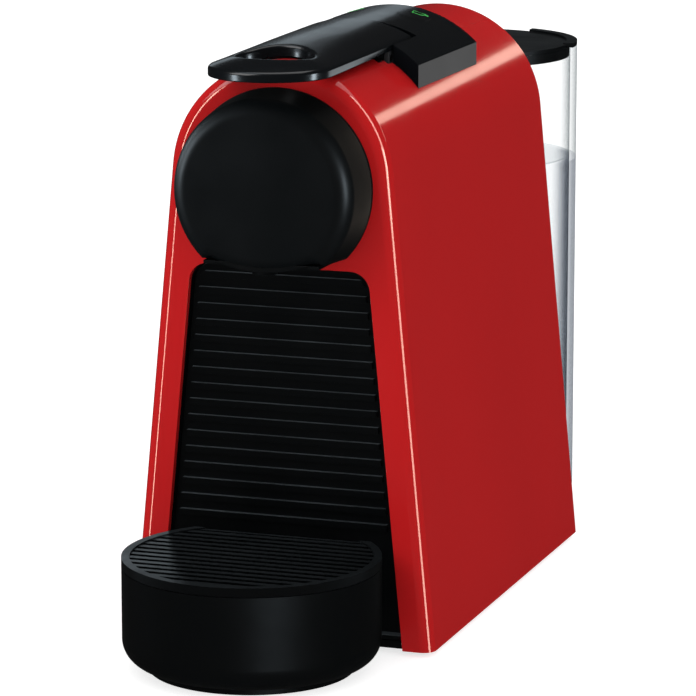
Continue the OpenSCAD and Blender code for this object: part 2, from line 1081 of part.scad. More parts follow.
module cage_carrier() {
    color(dark)
        difference() {
            union() {
                block(-16.3, 16.3, cage_back, cage_back + 6, 143, 176);
                block(-21.5, 21.5, cage_back, cage_back + 6, 143, 149);
                both_sides()
                    block(11, 16.3, carrier_y - 4, cage_back + 1, carrier_z - 4, carrier_z + 4);
            }
            rod_y(0, head_z, cage_r + 0.02, cage_front, cage_back);
            rod_y(0, head_z, 2, cage_back - 1, cage_back + 7);
        }
}

module piercing_blades() {
    seat = cage_back - 2.4;
    color(steel) {
        difference() {
            rod_y(0, head_z, 12, seat - 0.8, seat);
            rod_y(0, head_z, 3, seat - 2, seat + 1);
        }
        for (a = [90 : 120 : 330])
            translate([7 * cos(a), seat - 4.4, head_z + 7 * sin(a)])
                rotate([0, -a, 0])
                    translate([-1.6, 0, -0.4])
                        cube([3.2, 4, 0.8]);
    }
}

outer_shell();
rear_cover();
base_plate();
rubber_feet();
base_screws();
bay_liner();
inner_frame();
head_collar();
head_cover();
spout_bridge();
spout_nozzle();
brew_head_block();
extraction_plate();
plate_seal();
brew_frame();
capsule_guide();
water_fitting();
thermoblock();
heater_element();
thermostat();
thermal_fuse();
temperature_sensor();
pump_body();
pump_coil();
pump_mounts();
pump_bracket();
flow_meter_body();
flow_meter_cap();
suction_hose();
pressure_hose();
brew_hose();
inlet_hose();
main_board();
board_relay();
board_capacitor();
cord_gland();
tank_dock();
dock_seal();
control_panel();
panel_chassis();
switch_board();
lever_hinge_pins();
lever_cover();
lever_frame();
link_pins();
link_rods();
capsule_cage();
cage_carrier();
piercing_blades();
water_tank();
valve_guide();
tank_valve();
tank_lid();
capsule_container();
drip_base();
drip_grid();
espresso_button();
lungo_button();
flow_meter_rotor();
pump_piston();
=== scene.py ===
import json
import math

import bmesh
import bpy
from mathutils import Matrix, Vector


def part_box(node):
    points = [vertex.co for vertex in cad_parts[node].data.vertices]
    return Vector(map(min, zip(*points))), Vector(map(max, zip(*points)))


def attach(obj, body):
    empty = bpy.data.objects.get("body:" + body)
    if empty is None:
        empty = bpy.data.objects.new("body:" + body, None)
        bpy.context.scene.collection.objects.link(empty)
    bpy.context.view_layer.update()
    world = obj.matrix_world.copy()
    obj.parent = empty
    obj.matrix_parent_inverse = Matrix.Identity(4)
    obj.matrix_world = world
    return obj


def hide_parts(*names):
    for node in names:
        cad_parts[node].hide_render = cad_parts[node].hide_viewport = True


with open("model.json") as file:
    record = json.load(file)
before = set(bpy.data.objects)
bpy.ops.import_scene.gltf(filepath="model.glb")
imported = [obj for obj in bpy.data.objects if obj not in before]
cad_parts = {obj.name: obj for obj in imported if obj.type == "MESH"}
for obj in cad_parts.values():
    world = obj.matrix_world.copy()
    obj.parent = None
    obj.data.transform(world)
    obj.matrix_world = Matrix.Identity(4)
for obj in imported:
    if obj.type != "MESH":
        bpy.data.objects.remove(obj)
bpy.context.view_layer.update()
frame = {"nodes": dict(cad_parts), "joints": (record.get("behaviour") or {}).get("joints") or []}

MM = 0.001
# Distance by which cutters pass an open face or stay clear of a covered end.
CLEAR = 3 * MM
# Width of the rounded edges of the casing and the panel.
COVER_EDGE = 0.7 * MM

# Lowest and highest corners of the CAD nodes that the detailed pieces are built around.
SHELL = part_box("outer_shell")
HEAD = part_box("head_cover")
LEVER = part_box("lever_cover")
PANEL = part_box("control_panel")
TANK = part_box("water_tank")
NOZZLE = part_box("spout_nozzle")

# The point that the lever turns about.
HINGE = next(joint for joint in frame["joints"] if joint["name"] == "lever_hinge")["pos_m"]

# Casing: a round top whose sides spread towards the foot.
ARCH_R = 39.5 * MM
ARCH_Z = SHELL[1].z - ARCH_R
WALL = 2.4 * MM
FRONT_FILLET = 4.6 * MM
OPENING_TOP = 132 * MM
OPENING_CORNER = 7 * MM
STRIP = 10.65 * MM
HEAD_AXIS = 159.6 * MM
HEAD_HOLE_R = 24 * MM
DROP = ARCH_Z - SHELL[0].z
FLARE = math.acos(ARCH_R / math.hypot(SHELL[1].x, DROP)) - math.atan2(DROP, SHELL[1].x)


# ---- mesh helpers ----
WELD_REACH = 0.002 * MM
EDGE_SEGMENTS = 3
EDGE_ANGLE = math.radians(32)
SHADING_WEIGHT = 60


def make_piece(name, bm):
    """A mesh object from a finished bmesh."""
    bmesh.ops.recalc_face_normals(bm, faces=bm.faces)
    mesh = bpy.data.meshes.new(name)
    bm.to_mesh(mesh)
    bm.free()
    piece = bpy.data.objects.new(name, mesh)
    bpy.context.scene.collection.objects.link(piece)
    return piece


def loft(name, rings, ring_closed=False):
    """A closed solid through rings of points that all have the same count."""
    bm = bmesh.new()
    rows = [[bm.verts.new(point) for point in ring] for ring in rings]
    count = len(rows[0])
    pairs = list(zip(rows, rows[1:]))
    if ring_closed:
        pairs.append((rows[-1], rows[0]))
    for near, far in pairs:
        for i in range(count):
            j = (i + 1) % count
            bm.faces.new((near[i], near[j], far[j], far[i]))
    if not ring_closed:
        bm.faces.new(rows[0])
        bm.faces.new(list(reversed(rows[-1])))
    return make_piece(name, bm)


def bake(piece):
    """Turns a piece's modifiers into its mesh."""
    depsgraph = bpy.context.evaluated_depsgraph_get()
    done = bpy.data.meshes.new_from_object(piece.evaluated_get(depsgraph))
    piece.modifiers.clear()
    piece.data = done
    return piece


def carve(piece, *cutters):
    """Cuts closed shapes out of a piece."""
    for cutter in cutters:
        cut = piece.modifiers.new("cut", "BOOLEAN")
        cut.operation = "DIFFERENCE"
        cut.solver = "EXACT"
        cut.object = cutter
        bake(piece)
        bpy.data.objects.remove(cutter)
    return piece


def soften(piece, width):
    """Rounds the sharp edges of a piece and shades its flats flat."""
    weld = piece.modifiers.new("weld", "WELD")
    weld.merge_threshold = WELD_REACH
    edge = piece.modifiers.new("edges", "BEVEL")
    edge.width = width
    edge.segments = EDGE_SEGMENTS
    edge.limit_method = "ANGLE"
    edge.angle_limit = EDGE_ANGLE
    edge.miter_outer = "MITER_ARC"
    edge.use_clamp_overlap = True
    smooth(piece)
    return piece


def smooth(piece):
    """Smooth shading that keeps flats flat beside rounded edges."""
    for face in piece.data.polygons:
        face.use_smooth = True
    even = piece.modifiers.new("shading", "WEIGHTED_NORMAL")
    even.keep_sharp = True
    even.weight = SHADING_WEIGHT


def ellipse(x, z, rx, rz, count):
    """Points round an ellipse, as (across, up) pairs."""
    turn = 2 * math.pi / count
    return [(x + rx * math.cos(i * turn), z + rz * math.sin(i * turn)) for i in range(count)]


def prism_y(name, outline, y0, y1):
    """A closed solid: an (x, z) outline carried from y0 to y1."""
    return loft(name, [[(x, y, z) for x, z in outline] for y in (y0, y1)])


def prism_z(name, outline, z0, z1):
    """A closed solid: an (x, y) outline carried from z0 to z1."""
    return loft(name, [[(x, y, z) for x, y in outline] for z in (z0, z1)])


def block(name, low, high):
    """A rectangular cutter between two corners."""
    outline = [(low[0], low[1]), (high[0], low[1]), (high[0], high[1]), (low[0], high[1])]
    return prism_z(name, outline, low[2], high[2])


def finish_piece(piece, body, nodes, material):
    """Gives a piece its material and its place in the frame."""
    piece.data.materials.clear()
    piece.data.materials.append(material)
    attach(piece, body)
    if nodes:
        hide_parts(*nodes)
    return piece


# ---- materials ----
# Sockets of a mix node that carry colours; those for numbers have the same names.
FIRST_COLOUR, SECOND_COLOUR, MIXED_COLOUR = 6, 7, 2
# Nearly all values of a noise lie between these two.
NOISE_LOW, NOISE_HIGH = 0.3, 0.7


class Graph:
    """A short way to lay out a material's nodes."""

    def __init__(self, name):
        self.material = bpy.data.materials.new(name)
        self.material.use_nodes = True
        self.nodes = self.material.node_tree.nodes
        self.links = self.material.node_tree.links
        self.shader = self.nodes["Principled BSDF"]
        self.output = self.nodes["Material Output"]
        self.place = self.nodes.new("ShaderNodeTexCoord").outputs["Object"]

    def join(self, source, target):
        """Leads an output to an input."""
        self.links.new(source, target)

    def noise(self, scale, detail=2.0, stretch=(1, 1, 1)):
        """Noise that is laid in the object's own space, with features 1/scale metres long."""
        mapping = self.nodes.new("ShaderNodeMapping")
        mapping.inputs["Scale"].default_value = stretch
        self.join(self.place, mapping.inputs["Vector"])
        texture = self.nodes.new("ShaderNodeTexNoise")
        texture.inputs["Scale"].default_value = scale
        texture.inputs["Detail"].default_value = detail
        self.join(mapping.outputs["Vector"], texture.inputs["Vector"])
        return texture.outputs["Fac"]

    def blend(self, factor, low, high, start=NOISE_LOW, end=NOISE_HIGH):
        """A colour that runs from low to high with the factor."""
        ramp = self.nodes.new("ShaderNodeValToRGB")
        ramp.color_ramp.elements[0].position = start
        ramp.color_ramp.elements[1].position = end
        ramp.color_ramp.elements[0].color = (*low, 1)
        ramp.color_ramp.elements[1].color = (*high, 1)
        self.join(factor, ramp.inputs["Fac"])
        return ramp.outputs["Color"]

    def mix(self, factor, first, second):
        """The first colour where the factor is 0 and the second where it is 1."""
        mixer = self.nodes.new("ShaderNodeMix")
        mixer.data_type = "RGBA"
        self.join(factor, mixer.inputs["Factor"])
        self.join(first, mixer.inputs[FIRST_COLOUR])
        self.join(second, mixer.inputs[SECOND_COLOUR])
        return mixer.outputs[MIXED_COLOUR]

    def span(self, factor, low, high, start=NOISE_LOW, end=NOISE_HIGH):
        """A number that runs from low to high with the factor."""
        reach = self.nodes.new("ShaderNodeMapRange")
        reach.inputs["From Min"].default_value = start
        reach.inputs["From Max"].default_value = end
        reach.inputs["To Min"].default_value = low
        reach.inputs["To Max"].default_value = high
        self.join(factor, reach.inputs["Value"])
        return reach.outputs["Result"]

    def calculate(self, operation, source, value=0.0):
        """A number worked out from a source and, where the operation takes one, a value."""
        step = self.nodes.new("ShaderNodeMath")
        step.operation = operation
        step.inputs[1].default_value = value
        self.join(source, step.inputs[0])
        return step.outputs["Value"]

    def upward(self, vector):
        """The upward part of a vector."""
        split = self.nodes.new("ShaderNodeSeparateXYZ")
        self.join(vector, split.inputs["Vector"])
        return split.outputs["Z"]

    def bump(self, height, distance, strength=1.0, under=None):
        """Surface relief of a real depth in metres."""
        relief = self.nodes.new("ShaderNodeBump")
        relief.inputs["Distance"].default_value = distance
        relief.inputs["Strength"].default_value = strength
        self.join(height, relief.inputs["Height"])
        if under is not None:
            self.join(under, relief.inputs["Normal"])
        return relief.outputs["Normal"]

    def set(self, **values):
        """Plain values for the shader's inputs."""
        for name, value in values.items():
            self.shader.inputs[name.replace("_", " ")].default_value = value


def tint(colour, factor):
    """A colour made darker or lighter, up to white."""
    return tuple(min(1.0, part * factor) for part in colour)


def moulded_plastic(name, colour, roughness, grain, coat=0.0, variation=0.1):
    """Injection-moulded plastic: faint flow marks, a fine skin and uneven polish."""
    graph = Graph(name)
    flow = graph.noise(scale=14, detail=3, stretch=(1, 1, 0.4))
    graph.join(graph.blend(flow, tint(colour, 1 - variation), tint(colour, 1 + variation)),
               graph.shader.inputs["Base Color"])
    wear = graph.noise(scale=55, detail=4)
    graph.join(graph.span(wear, roughness * 0.85, roughness * 1.15),
               graph.shader.inputs["Roughness"])
    skin = graph.bump(graph.noise(scale=2600, detail=2), grain)
    graph.join(graph.bump(graph.noise(scale=60, detail=1), 0.012 * MM, 0.5, skin),
               graph.shader.inputs["Normal"])
    graph.set(IOR=1.5, Coat_Weight=coat, Coat_Roughness=0.05)
    return graph.material


def metal(name, colour, roughness, brushed):
    """Sheet or cast metal; brushed metal carries fine lines across it."""
    graph = Graph(name)
    stretch = (4, 60, 4) if brushed else (1, 1, 1)
    lines = graph.noise(scale=90 if brushed else 700, detail=4, stretch=stretch)
    graph.join(graph.blend(lines, tint(colour, 0.85), tint(colour, 1.1)),
               graph.shader.inputs["Base Color"])
    graph.join(graph.span(lines, roughness * 0.8, roughness * 1.25),
               graph.shader.inputs["Roughness"])
    graph.join(graph.bump(lines, 0.02 * MM if brushed else 0.06 * MM, 0.6),
               graph.shader.inputs["Normal"])
    graph.set(Metallic=1.0)
    return graph.material


def soft_rubber(name, colour):
    """Dull rubber with a fine open grain."""
    graph = Graph(name)
    grain = graph.noise(scale=1500, detail=3)
    graph.join(graph.blend(grain, tint(colour, 0.8), tint(colour, 1.25)),
               graph.shader.inputs["Base Color"])
    graph.join(graph.span(grain, 0.62, 0.8), graph.shader.inputs["Roughness"])
    graph.join(graph.bump(grain, 0.05 * MM, 0.7), graph.shader.inputs["Normal"])
    return graph.material


def milky_hose(name):
    """Translucent silicone."""
    graph = Graph(name)
    cloud = graph.noise(scale=300, detail=3)
    graph.join(graph.blend(cloud, (0.62, 0.65, 0.65), (0.78, 0.8, 0.8)),
               graph.shader.inputs["Base Color"])
    graph.join(graph.span(cloud, 0.3, 0.42), graph.shader.inputs["Roughness"])
    graph.join(graph.bump(cloud, 0.02 * MM), graph.shader.inputs["Normal"])
    graph.set(Transmission_Weight=0.35)
    return graph.material


def board(name):
    """Green glass-fibre board with a woven core under its lacquer."""
    graph = Graph(name)
    weave = graph.noise(scale=1200, detail=1, stretch=(1, 1, 6))
    graph.join(graph.blend(weave, (0.015, 0.12, 0.05), (0.03, 0.19, 0.08)),
               graph.shader.inputs["Base Color"])
    graph.join(graph.span(weave, 0.28, 0.4), graph.shader.inputs["Roughness"])
    graph.join(graph.bump(weave, 0.02 * MM), graph.shader.inputs["Normal"])
    return graph.material


WATER_LINE = 139.3 * MM
# Where the painted water shade starts and ends to darken an edge below the water line: 0 is seen
# face on, 1 edge on.
PAINTED_WATER_SHADE_TURN = (0.45, 0.75)
# Painted light: the pale colour that level faces of clear walls are painted with.
PAINTED_LEVEL_LIGHT = (0.86, 0.88, 0.89)
FACE_SHEEN = 0.03
EDGE_POWER = 4


def clear_wall(name, face_colour, edge_colour, turn, roughness, gloss_edge, ripple,
               painted_water_shade_colour=None):
    """Clear plastic or water: see-through face on, darker and glossy where it is seen edge on.

    The darker edges are painted shade that stands in for refraction. Level faces are painted
    lighter, as painted light. With a painted water shade colour, edges below the water line take
    that painted shade instead.
    """
    graph = Graph(name)
    graph.nodes.remove(graph.shader)
    layer = graph.nodes.new("ShaderNodeLayerWeight")
    layer.inputs["Blend"].default_value = 0.5
    edge = layer.outputs["Facing"]
    # The edge colour is painted shade that stands in for refraction, not a tint of the material.
    shade = graph.blend(edge, face_colour, edge_colour, *turn)
    # Below the water line the edges take a painted shade that stands in for the water's
    # refraction.
    if painted_water_shade_colour:
        painted_water_shade = graph.blend(edge, face_colour, painted_water_shade_colour, *PAINTED_WATER_SHADE_TURN)
        dry = graph.calculate("GREATER_THAN", graph.upward(graph.place), WATER_LINE)
        shade = graph.mix(dry, painted_water_shade, shade)
    # Level faces are painted lighter by how they lie: painted light.
    geometry = graph.nodes.new("ShaderNodeNewGeometry")
    level = graph.calculate("ABSOLUTE", graph.upward(geometry.outputs["Normal"]))
    light = graph.nodes.new("ShaderNodeRGB")
    light.outputs["Color"].default_value = (*PAINTED_LEVEL_LIGHT, 1)
    shade = graph.mix(level, shade, light.outputs["Color"])
    film = graph.nodes.new("ShaderNodeBsdfTransparent")
    graph.join(shade, film.inputs["Color"])
    gloss = graph.nodes.new("ShaderNodeBsdfGlossy")
    wear = graph.noise(scale=ripple * 3, detail=3)
    graph.join(graph.span(wear, roughness * 0.7, roughness * 1.4), gloss.inputs["Roughness"])
    relief = graph.bump(graph.noise(scale=ripple, detail=2), 0.03 * MM, 0.5)
    graph.join(relief, gloss.inputs["Normal"])
    rise = graph.calculate("POWER", edge, EDGE_POWER)
    sheen = graph.span(rise, FACE_SHEEN, gloss_edge, start=0, end=1)
    mix = graph.nodes.new("ShaderNodeMixShader")
    graph.join(sheen, mix.inputs["Fac"])
    graph.join(film.outputs["BSDF"], mix.inputs[1])
    graph.join(gloss.outputs["BSDF"], mix.inputs[2])
    graph.join(mix.outputs["Shader"], graph.output.inputs["Surface"])
    return graph.material


def lit_icon(name):
    """The glowing green inlay of a button."""
    graph = Graph(name)
    glow = graph.noise(scale=900, detail=2)
    graph.join(graph.blend(glow, (0.03, 0.4, 0.06), (0.06, 0.6, 0.1)),
               graph.shader.inputs["Base Color"])
    graph.join(graph.blend(glow, (0.01, 0.3, 0.03), (0.03, 0.42, 0.06)),
               graph.shader.inputs["Emission Color"])
    graph.join(graph.span(glow, 0.3, 0.4), graph.shader.inputs["Roughness"])
    graph.set(Emission_Strength=0.12)
    return graph.material


def pale_floor(name):
    """The studio floor: matt white, with a glow of its own."""
    graph = Graph(name)
    fine = graph.noise(scale=40, detail=3)
    graph.join(graph.blend(fine, (0.6, 0.6, 0.6), (0.62, 0.62, 0.62)),
               graph.shader.inputs["Base Color"])
    graph.join(graph.span(fine, 0.75, 0.85), graph.shader.inputs["Roughness"])
    graph.join(graph.blend(fine, (1, 1, 1), (0.98, 0.98, 0.98)),
               graph.shader.inputs["Emission Color"])
    graph.set(Specular_IOR_Level=0.2, Emission_Strength=0.75)
    return graph.material


# The finish of each material slot.
FINISH = {
    "shell_plastic": moulded_plastic("red_casing", (0.4, 0.0095, 0.0105), 0.09, 0.0004 * MM,
                                     coat=0.15, variation=0.03),
    "body_plastic": moulded_plastic("satin_black", (0.0016, 0.0024, 0.003), 0.34, 0.012 * MM),
    "panel_plastic": moulded_plastic("polished_black", (0.003, 0.0038, 0.0048), 0.2,
                                     0.0006 * MM, coat=0.1),
    "head_plastic": moulded_plastic("head_black", (0.0024, 0.0036, 0.0044), 0.4, 0.008 * MM),
    "inner_plastic": moulded_plastic("dark_grey", (0.03, 0.032, 0.035), 0.45, 0.02 * MM),
    # The tank's edge colour and its colour below the water line are painted shade that stands in
    # for refraction.
    "tank_plastic": clear_wall("clear_tank", face_colour=(0.99, 0.993, 0.994),
                               edge_colour=(0.6, 0.63, 0.64), turn=(0.6, 0.97),
                               roughness=0.05, gloss_edge=0.25, ripple=40,
                               painted_water_shade_colour=(0.58, 0.6, 0.63)),
    "clear_hose": milky_hose("milky_silicone"),
    "rubber": soft_rubber("black_rubber", (0.02, 0.02, 0.021)),
    "steel": metal("plain_steel", (0.55, 0.56, 0.58), 0.28, True),
    "cast_aluminium": metal("cast_aluminium", (0.5, 0.5, 0.51), 0.5, False),
    "circuit_board": board("green_board"),
}


# ---- casing ----
SIDE_STEPS = 8
FILLET_STEPS = 10
CUT_DEPTH = 12 * MM
HEAD_HOLE_STEPS = 96
# Well under the panel: half its width, and how far behind the panel's front it starts.
WELL_HALF = 22.3 * MM
WELL_BACK = 0.2 * MM
# Rooms cut in the top under the lever: name, half width and front end.
LEVER_ROOMS = (("slot", 15.6 * MM, -76 * MM), ("rods", 19.5 * MM, -43.6 * MM),
               ("ears", 21.2 * MM, -38.4 * MM))


def casing_half(z):
    """Half the casing's width at a height."""
    return SHELL[1].x - (z - SHELL[0].z) * math.tan(FLARE)


def opening_half(z):
    """Half the width of the recess at a height."""
    return casing_half(z) - STRIP / math.cos(FLARE)


def casing_section(inset, foot_z, steps=72):
    """The casing's outline, as (x, z) pairs: foot, one side, round top, other side."""
    r = ARCH_R - inset
    foot = casing_half(foot_z) - inset / math.cos(FLARE)
    sweep = [FLARE + (math.pi - 2 * FLARE) * i / steps for i in range(steps + 1)]
    top = [(r * math.cos(a), ARCH_Z + r * math.sin(a)) for a in sweep]
    side = [i / SIDE_STEPS for i in range(SIDE_STEPS)]
    right = [(foot + (top[0][0] - foot) * t, foot_z + (top[0][1] - foot_z) * t) for t in side]
    left = [(-x, z) for x, z in reversed(right)]
    return right + top + left


def opening_outline(steps=12):
    """The recess under the head: a tall opening with rounded upper corners."""
    z = OPENING_TOP - OPENING_CORNER
    x = opening_half(z) - OPENING_CORNER / math.cos(FLARE)
    low = SHELL[0].z - CLEAR
    sweep = [FLARE + (math.pi / 2 - FLARE) * i / steps for i in range(steps + 1)]
    corner = [(x + OPENING_CORNER * math.cos(a), z + OPENING_CORNER * math.sin(a))
              for a in sweep]
    right = [(opening_half(low), low)] + corner
    return right + [(-px, pz) for px, pz in reversed(right)]


def build_casing():
    """The red casing: an open-bottomed shell with a rounded front edge."""
    front, rear = SHELL[0].y, SHELL[1].y
    rings = []
    for i in range(FILLET_STEPS + 1):
        a = math.pi / 2 * i / FILLET_STEPS
        inset = FRONT_FILLET * (1 - math.sin(a))
        y = front + FRONT_FILLET * (1 - math.cos(a))
        rings.append([(x, y, z) for x, z in casing_section(inset, SHELL[0].z)])
    rings.append([(x, rear, z) for x, z in casing_section(0, SHELL[0].z)])
    casing = loft("red_casing_shell", rings)
    past_wall = front + WALL + MM
    hollow = prism_y("hollow", casing_section(WALL, SHELL[0].z - CLEAR), front + WALL, rear + MM)
    opening = prism_y("opening", opening_outline(), front - MM, past_wall)
    hole_round = ellipse(0, HEAD_AXIS, HEAD_HOLE_R, HEAD_HOLE_R, HEAD_HOLE_STEPS)
    head_hole = prism_y("head_hole", hole_round, front - MM, past_wall)
    top = SHELL[1].z + MM
    low = top - CUT_DEPTH
    well_front = PANEL[0].y + WELL_BACK
    well = block("well", (-WELL_HALF, well_front, low), (WELL_HALF, PANEL[1].y - CLEAR, top))
    rooms = [block(name, (-half, start, low), (half, well_front + MM, top))
             for name, half, start in LEVER_ROOMS]
    carve(casing, hollow, opening, head_hole, well, *rooms)
    soften(casing, COVER_EDGE)
    # The black parts keep their depth when they do not mirror the red.
    casing.visible_glossy = False
    return finish_piece(casing, "chassis", ["outer_shell"],
                        FINISH["shell_plastic"])


# ---- brewing head ----
HEAD_FLAT = HEAD[0].z
HEAD_R_BACK = 33.6 * MM
HEAD_R_FRONT = 31.2 * MM
HEAD_RIM = 5.2 * MM
HEAD_DOME = 0.7 * MM
HEAD_SKIN = 2 * MM
INNER_RIM = 0.6 * HEAD_RIM
BULGE_R = 50 * MM
BULGE_LOW = 133.2 * MM
BULGE_BLEND = 0.35 * MM
NOZZLE_GAP = 0.1 * MM
NOZZLE_STEPS = 48


def head_section(r, rise):
    """The head's outline at one depth: a round with a flat foot and a shallow bulge in it."""
    flat = HEAD_FLAT + rise
    reach = math.sqrt(r * r - (HEAD_AXIS - flat) ** 2)
    start = -math.asin((HEAD_AXIS - flat) / r)
    arc_steps, foot_steps = 110, 40
    sweep = [start + (math.pi - 2 * start) * i / arc_steps for i in range(arc_steps + 1)]
    points = [(r * math.cos(a), HEAD_AXIS + r * math.sin(a)) for a in sweep]
    for i in range(1, foot_steps):
        x = -reach + 2 * reach * i / foot_steps
        bulge = BULGE_LOW + rise + BULGE_R - math.sqrt(BULGE_R ** 2 - x * x)
        blend = 0.5 + 0.5 * math.tanh((flat - bulge) / BULGE_BLEND)
        points.append((x, flat + (bulge - flat) * blend))
    return points


def head_side_r(y):
    """Radius of the head's side, which narrows towards the front."""
    return HEAD_R_BACK + (HEAD_R_FRONT - HEAD_R_BACK) * (HEAD[1].y - y) / (HEAD[1].y - HEAD[0].y)


def build_head():
    """The head's cover: a slightly domed disc with a rounded rim, hollow and open behind."""
    back, front = HEAD[1].y, HEAD[0].y
    lip, straight = 0.3 * MM, 8 * MM
    inner_steps, outer_steps = 6, 12
    rings = []

    def ring(y, r, rise, shrink=1.0):
        rings.append([(x * shrink, y, HEAD_AXIS + (z - HEAD_AXIS) * shrink)
                      for x, z in head_section(r, rise)])

    shrinks = [0.05, 0.2, 0.4, 0.6, 0.8, 0.92]
    face_r = head_side_r(front) - HEAD_RIM
    for shrink in shrinks:
        ring(front + HEAD_SKIN + HEAD_DOME * shrink ** 2, face_r - HEAD_SKIN, HEAD_RIM, shrink)
    for i in range(inner_steps + 1):
        a = math.pi / 2 * i / inner_steps
        y = front + HEAD_DOME + HEAD_SKIN + INNER_RIM * (1 - math.cos(a))
        inset = HEAD_SKIN + INNER_RIM * (1 - math.sin(a))
        ring(y, head_side_r(y) - inset, inset)
    ring(back, HEAD_R_BACK - HEAD_SKIN, HEAD_SKIN)
    ring(back, HEAD_R_BACK - lip, lip)
    for y in (back - lip, back - straight):
        ring(y, head_side_r(y), 0)
    for i in range(outer_steps + 1):
        a = math.pi / 2 * (1 - i / outer_steps)
        y = front + HEAD_DOME + HEAD_RIM * (1 - math.cos(a))
        inset = HEAD_RIM * (1 - math.sin(a))
        ring(y, head_side_r(y) - inset, inset)
    for shrink in reversed(shrinks):
        ring(front + HEAD_DOME * shrink ** 2, face_r, HEAD_RIM, shrink)
    head = loft("head_disc", rings)
    centre = (NOZZLE[0] + NOZZLE[1]) / 2
    hole_r = NOZZLE[1].x + NOZZLE_GAP
    hole_round = ellipse(0, centre.y, hole_r, hole_r, NOZZLE_STEPS)
    carve(head, prism_z("nozzle_hole", hole_round, NOZZLE[0].z - MM, NOZZLE[1].z + MM))
    smooth(head)
    return finish_piece(head, "chassis", ["head_cover"],
                        FINISH["head_plastic"])


# ---- lever ----
LEVER_HALF = LEVER[1].x
LEVER_ROUND_Y = LEVER[0].y + LEVER_HALF
LEVER_BACK = LEVER[1].y
HOLE_Y = -93.8 * MM
HOLE_X_R = 13 * MM
HOLE_Y_R = 12.9 * MM
# The hole's points are spread as if it were this much longer, so that they face the lever's
# own points evenly.
HOLE_SPREAD = 2.2
# The crown stands CREST over the lever's edge. In front of CREST_END it loses CREST_LOSS
# within CREST_RUN. The edge itself falls by TIP_FALL from the rear end to the tip.
CREST = 5.4 * MM
CREST_LOSS = 1.1 * MM
CREST_END = -45 * MM
CREST_RUN = 60 * MM
TIP_FALL = 0.9 * MM
# The underside of the edge rises by LIP_RISE within LIP_RUN of the rear end.
LIP_RISE = 1.3 * MM
LIP_RUN = 95 * MM


def ease(t):
    """Runs from 0 to 1 with level ends, and stays there outside them."""
    t = max(0.0, min(1.0, t))
    return t * t * (3 - 2 * t)


def lever_edge_z(y):
    """Height of the top's outer edge, which sinks a little towards the tip."""
    return LEVER[1].z - CREST - TIP_FALL * (LEVER_BACK - y) / (LEVER_BACK - LEVER[0].y)


def lever_lip_z(y):
    """Height of the underside of the outer edge."""
    return LEVER[0].z + LIP_RISE * (1 - ease((LEVER_BACK - y) / LIP_RUN))


def lever_top_z(x, y):
    """Height of the arched top, whose crown sinks towards the tip."""
    camber = CREST - CREST_LOSS * ease((CREST_END - y) / CREST_RUN)
    past = min(0.0, y - LEVER_ROUND_Y)
    out = min(1.0, math.hypot(x, past) / LEVER_HALF)
    return lever_edge_z(y) + camber * (1 - out * out)


def lever_outline(inset, count=40):
    """The lever's outline from above: a long strip with a round tip."""
    r = LEVER_HALF - inset
    back = LEVER_BACK - inset
    turns = [math.pi * (1 + i / count) for i in range(count)]
    tip = [(r * math.cos(a), LEVER_ROUND_Y + r * math.sin(a)) for a in turns]
    right = [(r, LEVER_ROUND_Y + (back - LEVER_ROUND_Y) * i / count) for i in range(count)]
    rear = [(r - 2 * r * i / count, back) for i in range(count)]
    left = [(-r, back + (LEVER_ROUND_Y - back) * i / count) for i in range(count)]
    return tip + right + rear + left


def hole_outline(grow):
    """The finger hole's rim, with one point facing each point of the lever's outline."""
    points = []
    for x, y in lever_outline(0):
        a = math.atan2((y - HOLE_Y) / (HOLE_Y_R * HOLE_SPREAD), x / HOLE_X_R)
        points.append(((HOLE_X_R + grow) * math.cos(a), HOLE_Y + (HOLE_Y_R + grow) * math.sin(a)))
    return points


def build_lever():
    """The lever's cover: an arched shell with a rounded edge and an oval finger hole."""
    edge, rim, lip = 0.9 * MM, 1.3 * MM, 0.4 * MM
    skin, hole_wall, band = 1.3 * MM, 1.3 * MM, 2.4 * MM
    nick = 0.1 * MM
    across = [0.0, 0.04, 0.1, 0.2, 0.32, 0.45, 0.58, 0.7, 0.8, 0.88, 0.94, 1.0]
    round_steps = 6
    # Foot of the hole's wall: distance out from the hole and depth under the top.
    wall_foot = ((0, 3.9 * MM), (0.3 * MM, 4.2 * MM), (hole_wall - 0.2 * MM, 4.2 * MM),
                 (hole_wall, 4 * MM))
    # Foot of the outer edge: distance in from the outline and height over the underside.
    edge_foot = ((band, nick), (band - nick, 0), (lip, 0), (0.3 * lip, 0.3 * lip), (0, lip))
    rings = []

    def under_top(points, down):
        rings.append([(x, y, lever_top_z(x, y) - down) for x, y in points])

    def between(outer, inner, shares, down):
        for share in shares:
            under_top([(a[0] + (b[0] - a[0]) * share, a[1] + (b[1] - a[1]) * share)
                       for a, b in zip(outer, inner)], down)

    between(lever_outline(edge), hole_outline(rim), across, 0)
    for i in range(1, round_steps + 1):
        a = math.pi / 2 * i / round_steps
        under_top(hole_outline(rim * (1 - math.sin(a))), rim * (1 - math.cos(a)))
    for grow, down in wall_foot:
        under_top(hole_outline(grow), down)
    between(lever_outline(band), hole_outline(hole_wall), reversed(across), skin)
    for inset, rise in edge_foot:
        rings.append([(x, y, lever_lip_z(y) + rise) for x, y in lever_outline(inset)])
    for i in range(round_steps):
        a = math.pi / 2 * i / round_steps
        under_top(lever_outline(edge * (1 - math.cos(a))), edge * (1 - math.sin(a)))
    lever = loft("lever_top", rings, ring_closed=True)
    smooth(lever)
    return finish_piece(lever, "lever", ["lever_cover"],
                        FINISH["panel_plastic"])


